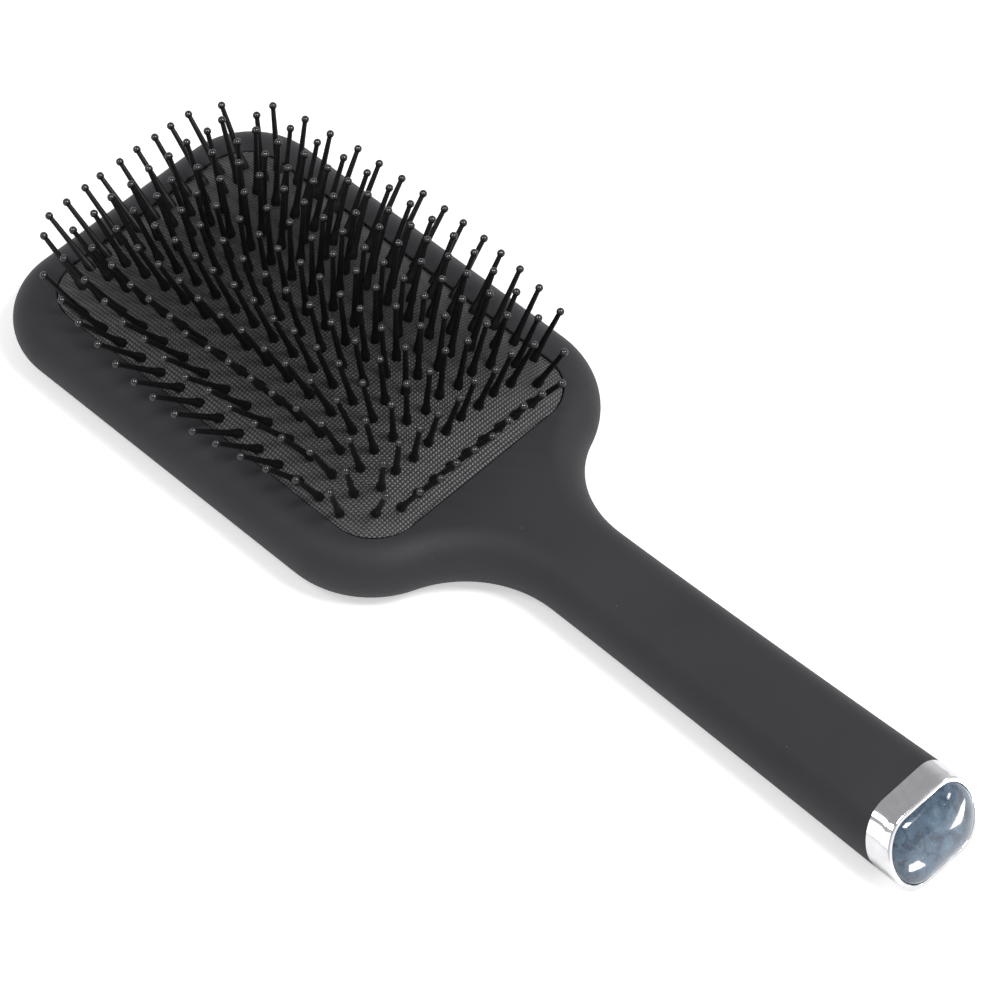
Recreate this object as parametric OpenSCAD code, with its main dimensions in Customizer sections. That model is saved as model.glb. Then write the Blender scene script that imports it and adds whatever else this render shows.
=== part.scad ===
// Paddle hair brush lying on its back: a hollow two-shell body with a soft-touch
// coat, a domed rubber cushion held by a screwed frame, staggered ball-tipped
// pins in nested rings, and a chrome handle cap that holds a polished stone.
// The origin is the middle of the head on the flat back face, with +X along the
// handle, +Y across the head and +Z up through the pins. Sizes are in mm.

/* [Head] */
// Length of the head
head_l = 123; // [111:1:148]
// Width of the head
head_w = 84; // [70:1:101]
// Thickness of the head
body_t = 15; // [13:0.5:18]
// Corner radius at the tip of the head
tip_corner_r = 19; // [17:0.5:23]
// Corner radius at the handle end of the head
neck_corner_r = 24; // [20:0.5:28]
// Wall of both shells
wall = 2.4; // [2:0.1:2.8]

/* [Handle] */
// Length from the middle of the head to the cap joint
handle_reach = 173; // [150:1:208]
// Width of the handle at the neck
neck_w = 22.6; // [19:0.2:26]
// Width of the handle at the cap
handle_w = 26; // [24:0.2:29]
// Thickness of the handle at the cap
handle_t = 16.6; // [15:0.2:19]
// Radius of the hollow between head and handle
neck_fillet_r = 25; // [18:0.5:30]

/* [Cushion] */
// Width of the coated rim at both ends of the cushion
rim_end = 9; // [9:0.25:12]
// Width of the coated rim along both sides of the cushion
rim_side = 10; // [10:0.25:13]
// How much tighter the opening's corners are than the head's handle-end corners
corner_step = 13; // [12:0.25:14]
// Depth of the lip around the opening
lip_t = 4; // [3.5:0.1:4.5]
// Thickness of the rubber
rubber_t = 1.4; // [1.2:0.1:1.7]
// Height of the dome above its edge
dome_h = 9; // [6.5:0.1:10]
// Gap between the rubber and the lip
lip_gap = 0.3; // [0.2:0.05:0.5]
// Width of the rubber flange under the lip
flange_w = 5.2; // [4.8:0.1:5.5]
// Thickness of the rubber flange
flange_t = 2; // [1.6:0.1:2.4]

/* [Frame and screws] */
// Thickness of the retaining frame
frame_t = 1.8; // [1.5:0.1:2.2]
// Screw shank diameter
screw_d = 2; // [1.6:0.1:2.2]
// Screw head diameter
screw_head_d = 3.8; // [3.2:0.1:4]
// Screw head height
screw_head_h = 1.3; // [1:0.1:1.6]
// Screw length under the head
screw_l = 6.4; // [5.6:0.1:6.8]

/* [Pins] */
// Free length of a pin, up to the middle of its ball
pin_l = 14.8; // [12:0.1:18]
// Diameter of a pin at the rubber
pin_root_d = 2.2; // [1.8:0.1:2.4]
// Diameter of the slender part
pin_d = 1.4; // [1.1:0.05:1.6]
// Diameter of a pin inside its ball
pin_neck_d = 1.05; // [0.9:0.05:1.2]
// Diameter of the ball tip
ball_d = 1.8; // [1.6:0.05:2.2]
// Diameter of the foot under the rubber
foot_d = 3; // [2.8:0.1:3.2]
// Thickness of the foot
foot_t = 0.9; // [0.7:0.1:1.2]
// Distance from the outermost columns to the sides of the opening
side_margin = 2.6; // [2.4:0.1:3.4]
// Distance from the end pins to the ends of the opening
end_margin = 4.5; // [4.3:0.1:6]
// Outward lean of the outermost columns, half way along, in degrees
lean_across = 48.5; // [30:0.5:50]
// Outward lean that the end pins gain over the middle ones in degrees
lean_along = 38.5; // [20:0.5:40]
// Lean of all the pins towards the tip in degrees
lean_tipward = 6.5; // [0:0.5:8]

/* [Cap] */
// Length of the chrome cap on its axis
cap_l = 6.65; // [6:0.05:8]
// Slant of the joint between handle and cap in degrees
joint_tilt = 20; // [10:1:24]
// Slant of the cap's face in degrees
face_tilt = 26; // [20:1:30]
// Bright rim around the stone
bezel_w = 1.1; // [0.9:0.05:1.6]
// Depth of the seat for the stone
seat_d = 1.9; // [1.6:0.1:2.4]
// Height of the polished stone above its girdle
stone_h = 2.6; // [1.8:0.1:3.2]
// Length of the spigot inside the handle
spigot_l = 12; // [9:0.5:14]

/* [Output] */

/* [Hidden] */

coat = [0.27, 0.27, 0.29];
rubber = [0.2, 0.2, 0.21];
nylon = [0.07, 0.07, 0.08];
tip_black = [0.1, 0.1, 0.11];
chrome = [0.83, 0.84, 0.86];
steel = [0.65, 0.66, 0.68];
frame_black = [0.15, 0.15, 0.16];
stone_blue = [0.45, 0.55, 0.63];
bed_grey = [0.55, 0.6, 0.64];

round_steps = 64;
arc_steps = 11;
seam_gap = 0.1;
flat_wall = 2;
edge_r = body_t / 2;
seam_z = body_t / 2;
inner_r = edge_r - flat_wall;
opening_l = head_l - 2 * rim_end;
opening_w = head_w - 2 * rim_side;
opening_r = neck_corner_r - corner_step;
head_half_l = head_l / 2;
head_half_w = head_w / 2;
neck_half = neck_w / 2;
end_half = handle_w / 2;
end_mid_z = handle_t / 2;
joint_x = handle_reach;
cut_spare = 12;
shell_end_x = joint_x + cut_spare;
face_x = joint_x + cap_l;

// Hollow of the neck: an arc that touches the head corner and the handle's side
corner_x = head_half_l - neck_corner_r;
corner_y = head_half_w - neck_corner_r;
hollow_y = neck_half + neck_fillet_r;
hollow_x = corner_x + sqrt(pow(neck_corner_r + neck_fillet_r, 2) - pow(hollow_y - corner_y, 2));
touch_angle = atan2(hollow_y - corner_y, hollow_x - corner_x);

// Share of the way from the neck to the cap, used for the flare of the handle
function along(x) = min(1, max(0, (x - hollow_x) / (joint_x - hollow_x)));
flare_power = 1.4;
function flare(x) = pow(along(x), flare_power);
function side_y(x) = neck_half + (end_half - neck_half) * flare(x);
function thicken(x) = 1 + (handle_t / body_t - 1) * flare(x);

function arc_points(cx, cy, r, from, to, steps) = [for (i = [0:steps])
  let (turn = from + (to - from) * i / steps)
  [cx + r * cos(turn), cy + r * sin(turn)]];

// One side of the body's outline, moved inwards by d
arc_skip = 5;
function side_points(d, end_x) = [for (i = [0:arc_steps])
  let (x = end_x + (hollow_x + 1 - end_x) * i / arc_steps)
  [x, side_y(x) - d]];
function half_outline(d, end_x) = concat(
  side_points(d, end_x),
  arc_points(hollow_x, hollow_y, neck_fillet_r + d, 270, 180 + touch_angle, arc_steps),
  arc_points(corner_x, corner_y, neck_corner_r - d, touch_angle + arc_skip, 90, arc_steps),
  arc_points(tip_corner_r - head_half_l, head_half_w - tip_corner_r, tip_corner_r - d, 90, 180, arc_steps));

// The whole outline as one ring of 3-D points, with height z scaled along the handle
function mirrored(half) = concat(half, [for (i = [len(half) - 1:-1:0]) [half[i][0], -half[i][1]]]);
function ring_at(points, z) = [for (p = points) [p[0], p[1], z * thicken(p[0])]];
function body_ring(d, z, end_x) = ring_at(mirrored(half_outline(d, end_x)), z);

function outer_inset(angle) = edge_r * (1 - cos(angle));
function outer_height(angle) = edge_r * sin(angle);
function inner_inset(angle) = wall + inner_r * (1 - cos(angle));
function inner_height(angle) = inner_r * sin(angle);

// A closed solid through rings with equal point counts; both ends close with a ladder.
// The rings run from the middle of the top, down the outside, to the inside; upward
// runs give rising = true so that the faces still point outwards.
module loft(rings, rising = false) {
  n = len(rings[0]);
  m = len(rings);
  points = [for (ring = rings) for (p = ring) p];
  sides = [for (k = [0:m - 2]) for (i = [0:n - 1])
    let (a = k * n + i, b = k * n + (i + 1) % n)
    each [[a, b, a + n], [b, b + n, a + n]]];
  first = [for (i = [0:n / 2 - 2])
    each [[i, n - 1 - i, n - 2 - i], [i, n - 2 - i, i + 1]]];
  base = (m - 1) * n;
  last = [for (i = [0:n / 2 - 2])
    let (a = base + i, b = base + n - 1 - i)
    each [[a, b - 1, b], [a, a + 1, b - 1]]];
  faces = concat(sides, first, last);
  turned = [for (f = faces) [f[2], f[1], f[0]]];
  polyhedron(points = points, faces = rising ? turned : faces, convexity = 8);
}

bulge_angles = [90, 76, 62, 48, 34, 20, 8];
inner_angles = [0, 20, 40, 60, 78, 90];
tongue_w = 0.8;
tongue_h = 1;
tongue_d = 0.8;
fit_gap = 0.1;

// Everything beyond the slanted joint with the cap
module beyond_joint(gap) {
  translate([joint_x - gap, 0, end_mid_z])
    rotate([0, -joint_tilt, 0])
      translate([0, -handle_w, -handle_t * 2])
        cube([handle_w * 2, handle_w * 2, handle_t * 4]);
}

inner_end_x = shell_end_x - 2;
rib_start = 4;
rib_pitch = 16;
rib_clear = 12;
rib_x = [for (x = [hollow_x + rib_start:rib_pitch:joint_x - spigot_l - rib_clear]) x];
rib_t = 1.4;
rib_half = neck_half - edge_r;
rib_sink = 0.6;
floor_t = flat_wall;
floor_rib_h = 2;
floor_rib_inset = 8;
tongue_step = 0.5;
seam_rib_gap = 0.4;

// Lower half of the body, with its seam tongue and floor ribs
module back_shell() {
  seam = seam_z - seam_gap / 2;
  outer = [for (a = bulge_angles) body_ring(outer_inset(a), seam_z - outer_height(a), shell_end_x)];
  tongue = [
    body_ring(0, seam, shell_end_x),
    body_ring(tongue_d, seam, shell_end_x - tongue_step),
    body_ring(tongue_d, seam + tongue_h, shell_end_x - tongue_step),
    body_ring(tongue_d + tongue_w, seam + tongue_h, shell_end_x - 2 * tongue_step),
    body_ring(tongue_d + tongue_w, seam, shell_end_x - 2 * tongue_step)];
  inner = [for (a = inner_angles)
    body_ring(inner_inset(a), a == 0 ? seam : seam_z - inner_height(a), inner_end_x)];
  color(coat) difference() {
    union() {
      loft(concat(outer, tongue, inner), rising = true);
      for (x = rib_x)
        translate([x, -rib_half, floor_t - rib_sink])
          cube([rib_t, 2 * rib_half, seam_z - floor_t]);
      for (y = [-1, 0, 1])
        translate([floor_rib_inset - opening_l / 2, y * opening_w / 4 - rib_t / 2, floor_t - rib_sink])
          cube([opening_l - 2 * floor_rib_inset, rib_t, floor_rib_h + rib_sink]);
    }
    beyond_joint(0);
  }
}

// Rounded rectangle made of corner arcs, inset by d
corner_steps = 8;
function pad_outline(half_l, half_w, r, d) = mirrored(concat(
  arc_points(half_l - r, half_w - r, r - d, 0, 90, corner_steps),
  [for (i = [1:5]) [(half_l - r) * (1 - i / 3), half_w - d]],
  arc_points(r - half_l, half_w - r, r - d, 90, 180, corner_steps)));

module opening_prism(grow, low, high) {
  half_l = opening_l / 2 + grow;
  half_w = opening_w / 2 + grow;
  r = opening_r + grow;
  translate([0, 0, low])
    linear_extrude(high - low)
      union() {
        square([2 * half_l, 2 * (half_w - r)], center = true);
        square([2 * (half_l - r), 2 * half_w], center = true);
        for (sx = [-1, 1], sy = [-1, 1])
          translate([sx * (half_l - r), sy * (half_w - r)])
            circle(r = r, $fn = round_steps);
      }
}

lip_low = body_t - lip_t;
flange_low = lip_low - flange_t;
frame_low = flange_low - frame_t;
screw_inset = flange_w / 2 + 0.2;
screw_x = opening_l / 2 + screw_inset;
screw_y = opening_w / 2 + screw_inset;
side_places = [-0.68, -0.23, 0.23, 0.68];
end_places = [-0.42, 0.42];
screw_spots = concat(
  [for (place = side_places, side = [-1, 1]) [place * opening_l / 2, side * screw_y]],
  [for (place = end_places, side = [-1, 1]) [side * screw_x, place * opening_w / 2]]);
hole_spare = 0.3;
lip_top_sink = 1.7;

// Upright prism with the body's outline moved inwards by d
module outline_prism(d, low, high) {
  translate([0, 0, low])
    linear_extrude(high - low)
      polygon(mirrored(half_outline(d, shell_end_x)));
}

// Insets that keep the lip under the rounded edge and the flange clear of the wall
lip_cover = 0.3;
room_gap = 0.15;
lip_inset = outer_inset(asin((edge_r - lip_top_sink) / edge_r)) + lip_cover;
room_inset = inner_inset(asin((lip_low - seam_z) / inner_r)) + room_gap;

module at_screws() {
  for (p = screw_spots)
    translate([p[0], p[1], 0])
      children();
}

// Upper half of the body, with the lip around the opening and the seam groove
module front_shell() {
  seam = seam_z + seam_gap / 2;
  outer = [for (a = bulge_angles) body_ring(outer_inset(a), seam_z + outer_height(a), shell_end_x)];
  groove_near = tongue_d - fit_gap;
  groove_far = tongue_d + tongue_w + fit_gap;
  groove_top = seam + tongue_h + fit_gap;
  near_end_x = shell_end_x - tongue_step + fit_gap;
  far_end_x = shell_end_x - 2 * tongue_step - fit_gap;
  groove = [
    body_ring(0, seam, shell_end_x),
    body_ring(groove_near, seam, near_end_x),
    body_ring(groove_near, groove_top, near_end_x),
    body_ring(groove_far, groove_top, far_end_x),
    body_ring(groove_far, seam, far_end_x)];
  inner = [for (a = inner_angles)
    body_ring(inner_inset(a), a == 0 ? seam : seam_z + inner_height(a), inner_end_x)];
  color(coat) difference() {
    union() {
      loft(concat(outer, groove, inner));
      intersection() {
        opening_prism(flange_w - lip_gap, lip_low, body_t - lip_top_sink);
        outline_prism(lip_inset, lip_low - 1, body_t);
      }
      for (x = rib_x)
        translate([x, -rib_half, seam_z + seam_rib_gap])
          cube([rib_t, 2 * rib_half, inner_r * thicken(x) + rib_sink]);
    }
    opening_prism(0, lip_low - 1, body_t + 1);
    at_screws()
      translate([0, 0, frame_low])
        cylinder(d = screw_d, h = screw_l + hole_spare, $fn = round_steps);
    beyond_joint(0);
  }
}

// Height of the cushion's outer face above the back
rim_drop = 0.5;
pad_half_l = opening_l / 2 - lip_gap;
pad_half_w = opening_w / 2 - lip_gap;
pad_r = opening_r - lip_gap;
function share(v, limit, power) = 1 - pow(min(1, abs(v) / limit), power);
across_power = 2.4;
along_power = 3;
function dome(x, y) = body_t - rim_drop
  + dome_h * share(y, pad_half_w, across_power) * share(x, pad_half_l, along_power);

function dome_ring(scale_by, drop) = [for (p = pad_outline(pad_half_l, pad_half_w, pad_r, 0))
  let (x = p[0] * scale_by, y = p[1] * scale_by)
  [x, y, dome(x, y) - drop]];
function flat_ring(d, z) = [for (p = pad_outline(pad_half_l, pad_half_w, pad_r, d)) [p[0], p[1], z]];

dome_steps = [0.03, 0.16, 0.3, 0.44, 0.57, 0.69, 0.8, 0.89, 0.955];
hole_gap = 0.05;
flange_gap = 0.05;
flange_reach = flange_w - 0.6;
frame_reach = flange_w - 0.2;

// Domed rubber with a turned-down edge, a flange under the lip and a hole for each pin
module cushion_pad() {
  under = [for (s = dome_steps) dome_ring(s, rubber_t)];
  over = [for (i = [len(dome_steps) - 1:-1:0]) dome_ring(dome_steps[i], 0)];
  skirt = [
    flat_ring(rubber_t, body_t - rim_drop - rubber_t),
    flat_ring(rubber_t, flange_low + flange_gap),
    flat_ring(-flange_reach, flange_low + flange_gap),
    flat_ring(-flange_reach, lip_low - flange_gap),
    flat_ring(0, lip_low - flange_gap),
    flat_ring(0, body_t - rim_drop)];
  color(rubber) difference() {
    intersection() {
      loft(concat(under, skirt, over), rising = true);
      outline_prism(room_inset, flange_low - 1, body_t + dome_h + 1);
    }
    for (ring = [0:ring_count - 1])
      at_pins(ring)
        translate([0, 0, -rubber_t * 3])
          cylinder(d = pin_root_d + 2 * hole_gap, h = rubber_t * 5, $fn = round_steps);
    at_screws()
      translate([0, 0, frame_low])
        cylinder(d = screw_d + 2 * fit_gap, h = lip_t + flange_t, $fn = round_steps);
  }
}

// Flat ring that holds the flange against the lip
module pad_frame() {
  color(frame_black) difference() {
    intersection() {
      opening_prism(frame_reach, frame_low, flange_low);
      outline_prism(room_inset, frame_low - 1, flange_low + 1);
    }
    opening_prism(-1, frame_low - 1, flange_low + 1);
    at_screws()
      translate([0, 0, frame_low - 1])
        cylinder(d = screw_d + 2 * fit_gap, h = frame_t + 2, $fn = round_steps);
  }
}

// Pan-head screws driven up through the frame and flange into the lip
module frame_screws() {
  slot_w = 0.6;
  slot_l = screw_head_d / 1.5;
  head_top = frame_low - flange_gap;
  head_low = head_top - screw_head_h;
  color(steel) at_screws()
    difference() {
      union() {
        translate([0, 0, head_top])
          cylinder(d = screw_d, h = screw_l, $fn = round_steps);
        translate([0, 0, head_low])
          cylinder(d = screw_head_d, h = screw_head_h, $fn = round_steps);
      }
      for (turn = [0, 90])
        rotate([0, 0, turn])
          translate([-slot_l / 2, -slot_w / 2, head_low - 1])
            cube([slot_l, slot_w, 1 + screw_head_h / 2]);
    }
}

// Columns run along the head; every other column has one pin fewer, and the two
// outer columns on each side start further in to follow the rounded corners
column_half = 6;
ring_count = 7;
full_count = 17;
full_reach = opening_l / 2 - end_margin;
column_pitch = (opening_w / 2 - side_margin) / column_half;
next_inset = 2.7;
last_inset = 8.5;
function column_count(j) = abs(j) == 6 ? 14 : abs(j) == 5 ? 15 : full_count - abs(j) % 2;
function column_reach(j) = full_reach - (abs(j) == 6 ? last_inset : abs(j) == 5 ? next_inset : 0);
function pin_x(j, k) = column_reach(j) * (2 * k / (column_count(j) - 1) - 1);
function pin_ring(j, k) = min(column_half - abs(j), k, column_count(j) - 1 - k);

module at_pins(ring) {
  for (j = [-column_half:column_half])
    for (k = [0:column_count(j) - 1])
      if (pin_ring(j, k) == ring)
        place_pin(pin_x(j, k), j * column_pitch)
          children();
}

// Stands a pin on the dome. Sideways lean grows evenly from the middle column and
// eases off towards the ends; lengthways lean is gathered near the ends.
ease_share = 0.84;
ease_power = 2.4;
even_share = 0.15;
end_power = 4.6;
function end_lean(u) = even_share * u + (1 - even_share) * sign(u) * pow(abs(u), end_power);
module place_pin(x, y) {
  u = x / full_reach;
  v = y / (column_pitch * column_half);
  across = sin(lean_across) * v * (1 - ease_share * pow(abs(u), ease_power));
  lengthways = sin(lean_along) * end_lean(u) - sin(lean_tipward);
  rise = sqrt(1 - across * across - lengthways * lengthways);
  translate([x, y, dome(x, y)])
    rotate([0, acos(rise), atan2(across, lengthways)])
      children();
}

foot_gap = 2.4;
foot_drop = rubber_t + foot_gap;
foot_bevel = 0.2;
tip_seat = 0.35;
root_h = 0.7;
shank_low = 4.2;

// One pin: foot under the rubber, thick root, slender shank
module one_pin() {
  rotate_extrude($fn = round_steps)
    polygon([
      [0, -foot_drop - foot_t],
      [foot_d / 2 - foot_bevel, -foot_drop - foot_t],
      [foot_d / 2, -foot_drop - foot_t + foot_bevel],
      [foot_d / 2, -foot_drop],
      [pin_root_d / 2, -foot_drop],
      [pin_root_d / 2, root_h],
      [pin_d / 2 + (pin_root_d - pin_d) / 3, root_h * 2],
      [pin_d / 2 + (pin_root_d - pin_d) / 7, root_h * 4],
      [pin_d / 2, shank_low],
      [pin_neck_d / 2, pin_l + tip_seat],
      [0, pin_l + tip_seat]]);
}

// The dipped ball on the end of a pin
bore_gap = 0.04;
module one_tip() {
  bore_r = pin_neck_d / 2 + bore_gap;
  translate([0, 0, pin_l])
    difference() {
      sphere(d = ball_d, $fn = round_steps);
      translate([0, 0, -ball_d])
        cylinder(r = bore_r, h = ball_d + tip_seat + 0.02, $fn = round_steps);
    }
}

module pin_group(ring) {
  color(nylon) at_pins(ring)
    one_pin();
}

module tip_group(ring) {
  color(tip_black) at_pins(ring)
    one_tip();
}

// Section of the handle at the cap, with corners that match the body's round edge
end_steps = 14;
end_flat_y = end_half - edge_r;
end_quarter = [for (i = [0:end_steps])
  let (turn = 90 * i / end_steps)
  [end_flat_y + edge_r * cos(turn), end_mid_z * sin(turn)]];
end_top = concat(end_quarter, [for (i = [end_steps:-1:0]) [-end_quarter[i][0], end_quarter[i][1]]]);
end_section = concat(end_top, [for (i = [2 * end_steps:-1:1]) [end_top[i][0], -end_top[i][1]]]);

// Moves children from the slanted face's own frame, where +Z leaves the face
module at_face() {
  translate([face_x, 0, end_mid_z])
    rotate([0, -face_tilt, 0])
      rotate([90, 0, 90])
        children();
}

face_half_y = end_half - bezel_w;
face_half_z = end_mid_z / cos(face_tilt) - bezel_w;
face_r = edge_r - bezel_w;
stone_gap = 0.1;

// Outline of the stone's seat in the face, inset by d
module face_shape(d) {
  r = face_r - d;
  union() {
    square([2 * (face_half_y - face_r), 2 * (face_half_z - d)], center = true);
    square([2 * (face_half_y - d), 2 * (face_half_z - face_r)], center = true);
    for (sx = [-1, 1], sy = [-1, 1])
      translate([sx * (face_half_y - face_r), sy * (face_half_z - face_r)])
        circle(r = r, $fn = round_steps);
  }
}

// Chrome cap: a spigot inside the handle, the visible band and the stone's seat
module end_cap() {
  spigot_gap = 0.4;
  spigot_half_y = end_half - wall - spigot_gap;
  spigot_half_z = end_mid_z * 0.62;
  spigot_r = 4.4;
  joint_gap = 0.05;
  color(chrome) difference() {
    union() {
      difference() {
        translate([joint_x - handle_t, 0, end_mid_z])
          rotate([90, 0, 90])
            linear_extrude(cap_l + handle_t * 2)
              polygon(end_section);
        translate([joint_x + joint_gap, 0, end_mid_z])
          rotate([0, -joint_tilt, 0])
            translate([-handle_w * 2, -handle_w, -handle_t * 2])
              cube([handle_w * 2, handle_w * 2, handle_t * 4]);
      }
      translate([joint_x - spigot_l, 0, end_mid_z])
        rotate([90, 0, 90])
          linear_extrude(spigot_l + cap_l / 2)
            union() {
              square([2 * spigot_half_y, 2 * (spigot_half_z - spigot_r)], center = true);
              square([2 * (spigot_half_y - spigot_r), 2 * spigot_half_z], center = true);
              for (sx = [-1, 1], sy = [-1, 1])
                translate([sx * (spigot_half_y - spigot_r), sy * (spigot_half_z - spigot_r)])
                  circle(r = spigot_r, $fn = round_steps);
            }
    }
    at_face()
      translate([-handle_w, -handle_t * 2, 0])
        cube([handle_w * 2, handle_t * 4, handle_w * 2]);
    at_face()
      translate([0, 0, -seat_d])
        linear_extrude(seat_d + 1)
          face_shape(0);
  }
}

bed_t = 0.4;
bed_gap = 0.3;

// Thin backing film that the stone is glued to
module stone_bed() {
  color(bed_grey) at_face()
    translate([0, 0, -seat_d])
      linear_extrude(bed_t)
        face_shape(bed_gap);
}

girdle_low = 0.2;
stone_angles = [0, 14, 28, 42, 56, 70, 88];
stone_outline = pad_outline(face_half_y - stone_gap, face_half_z - stone_gap, face_r - stone_gap, 0);
function stone_ring(shrink, z) = [for (p = stone_outline) [p[0] * shrink, p[1] * shrink, z]];

// Polished stone with a low dome
module stone() {
  base_z = bed_t - seat_d;
  rise = stone_h + girdle_low;
  base = [stone_ring(0.03, base_z), stone_ring(1, base_z)];
  polished = [for (a = stone_angles) stone_ring(cos(a), rise * sin(a) - girdle_low)];
  color(stone_blue) at_face()
    loft(concat(base, polished), rising = true);
}

back_shell();
front_shell();
cushion_pad();
pad_frame();
frame_screws();
pin_group(0);  // pins_1
pin_group(1);  // pins_2
pin_group(2);  // pins_3
pin_group(3);  // pins_4
pin_group(4);  // pins_5
pin_group(5);  // pins_6
pin_group(6);  // pins_7
tip_group(0);  // tips_1
tip_group(1);  // tips_2
tip_group(2);  // tips_3
tip_group(3);  // tips_4
tip_group(4);  // tips_5
tip_group(5);  // tips_6
tip_group(6);  // tips_7
end_cap();
stone_bed();
stone();
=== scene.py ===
import math
import random

import bmesh
import bpy
from mathutils import Matrix, Vector


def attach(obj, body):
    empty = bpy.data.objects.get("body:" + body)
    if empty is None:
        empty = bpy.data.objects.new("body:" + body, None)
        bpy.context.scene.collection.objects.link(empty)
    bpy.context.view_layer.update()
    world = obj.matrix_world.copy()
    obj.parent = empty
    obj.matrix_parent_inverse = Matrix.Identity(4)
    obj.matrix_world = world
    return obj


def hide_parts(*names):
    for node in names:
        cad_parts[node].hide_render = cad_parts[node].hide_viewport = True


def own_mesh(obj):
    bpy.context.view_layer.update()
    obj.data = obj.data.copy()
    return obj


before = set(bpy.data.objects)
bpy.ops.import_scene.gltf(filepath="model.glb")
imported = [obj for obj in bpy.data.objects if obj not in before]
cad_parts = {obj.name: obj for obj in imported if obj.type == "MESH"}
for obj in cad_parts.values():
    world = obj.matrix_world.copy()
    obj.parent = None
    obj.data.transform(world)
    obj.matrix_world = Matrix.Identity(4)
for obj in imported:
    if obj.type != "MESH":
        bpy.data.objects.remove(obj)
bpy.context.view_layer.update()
scene = bpy.context.scene
mm = 0.001
print("frame loaded")


# mesh helpers

def linkObject(name, mesh):
    obj = bpy.data.objects.new(name, mesh)
    scene.collection.objects.link(obj)
    return obj


def meshFrom(name, points, faces, smooth=True):
    mesh = bpy.data.meshes.new(name)
    mesh.from_pydata([[c * mm for c in p] for p in points], [], faces)
    mesh.validate()
    bm = bmesh.new()
    bm.from_mesh(mesh)
    bmesh.ops.recalc_face_normals(bm, faces=bm.faces)
    bm.to_mesh(mesh)
    bm.free()
    if smooth:
        for poly in mesh.polygons:
            poly.use_smooth = True
    return mesh


def loft(name, rings, closeEnds=True):
    # skin through rings with equal counts; each end closes as a ladder between the two mirrored halves
    n = len(rings[0])
    points = [p for ring in rings for p in ring]
    faces = []
    for k in range(len(rings) - 1):
        a, b = k * n, (k + 1) * n
        for i in range(n):
            j = (i + 1) % n
            faces.append((a + i, a + j, b + j, b + i))
    if closeEnds:
        last = (len(rings) - 1) * n
        for i in range(n // 2 - 1):
            faces.append((i, n - 1 - i, n - 2 - i, i + 1))
            faces.append((last + i, last + i + 1, last + n - 2 - i, last + n - 1 - i))
    return meshFrom(name, points, faces)


def cutWith(obj, cutter, how):
    mod = obj.modifiers.new(how, "BOOLEAN")
    mod.operation = how
    mod.solver = "EXACT"
    mod.object = cutter
    deps = bpy.context.evaluated_depsgraph_get()
    done = bpy.data.meshes.new_from_object(obj.evaluated_get(deps))
    obj.modifiers.clear()
    obj.data = done
    bpy.data.objects.remove(cutter)


def smoothByAngle(obj, degrees):
    obj.data.shade_smooth()
    obj.data.set_sharp_from_angle(angle=math.radians(degrees))


def favourLargeFaces(obj):
    # large flat faces keep their own shading up to the rounded edges
    mod = obj.modifiers.new("largeFaces", "WEIGHTED_NORMAL")
    mod.keep_sharp = True
    mod.weight = 90
    deps = bpy.context.evaluated_depsgraph_get()
    done = bpy.data.meshes.new_from_object(obj.evaluated_get(deps))
    obj.modifiers.clear()
    obj.data = done


def arcPoints(cx, cy, r, start, end, steps):
    out = []
    for i in range(steps + 1):
        a = math.radians(start + (end - start) * i / steps)
        out.append((cx + r * math.cos(a), cy + r * math.sin(a)))
    return out


def mirrored(half):
    return half + [(x, -y) for x, y in reversed(half)]


# node helpers

def newMaterial(name):
    mat = bpy.data.materials.new(name)
    mat.use_nodes = True
    nodes, links = mat.node_tree.nodes, mat.node_tree.links
    return mat, nodes, links, nodes["Principled BSDF"]


def addNode(nodes, kind, **settings):
    node = nodes.new(kind)
    for key, value in settings.items():
        setattr(node, key, value)
    return node


def objectMillimetres(nodes, links):
    coord = addNode(nodes, "ShaderNodeTexCoord")
    mapping = addNode(nodes, "ShaderNodeMapping")
    mapping.inputs["Scale"].default_value = (1000, 1000, 1000)
    links.new(coord.outputs["Object"], mapping.inputs["Vector"])
    return mapping.outputs["Vector"]


def mathNode(nodes, links, operation, *values):
    node = addNode(nodes, "ShaderNodeMath", operation=operation)
    for i, v in enumerate(values):
        if isinstance(v, (int, float)):
            node.inputs[i].default_value = v
        else:
            links.new(v, node.inputs[i])
    return node.outputs[0]


def noiseNode(nodes, links, vector, scale, detail=3.0, rough=0.5):
    node = addNode(nodes, "ShaderNodeTexNoise")
    node.inputs["Scale"].default_value = scale
    node.inputs["Detail"].default_value = detail
    node.inputs["Roughness"].default_value = rough
    links.new(vector, node.inputs["Vector"])
    return node


def grey(value):
    return (value, value, value)


def rampNode(nodes, links, factor, stops):
    node = addNode(nodes, "ShaderNodeValToRGB")
    ramp = node.color_ramp
    while len(ramp.elements) < len(stops):
        ramp.elements.new(0.5)
    for element, (place, colour) in zip(ramp.elements, stops):
        element.position = place
        element.color = (*colour, 1)
    links.new(factor, node.inputs[0])
    return node


def bumpNode(nodes, links, shader, height, distance, strength=1.0):
    node = addNode(nodes, "ShaderNodeBump")
    node.inputs["Strength"].default_value = strength
    node.inputs["Distance"].default_value = distance
    links.new(height, node.inputs["Height"])
    links.new(node.outputs["Normal"], shader.inputs["Normal"])
    return node


# finishes

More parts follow.
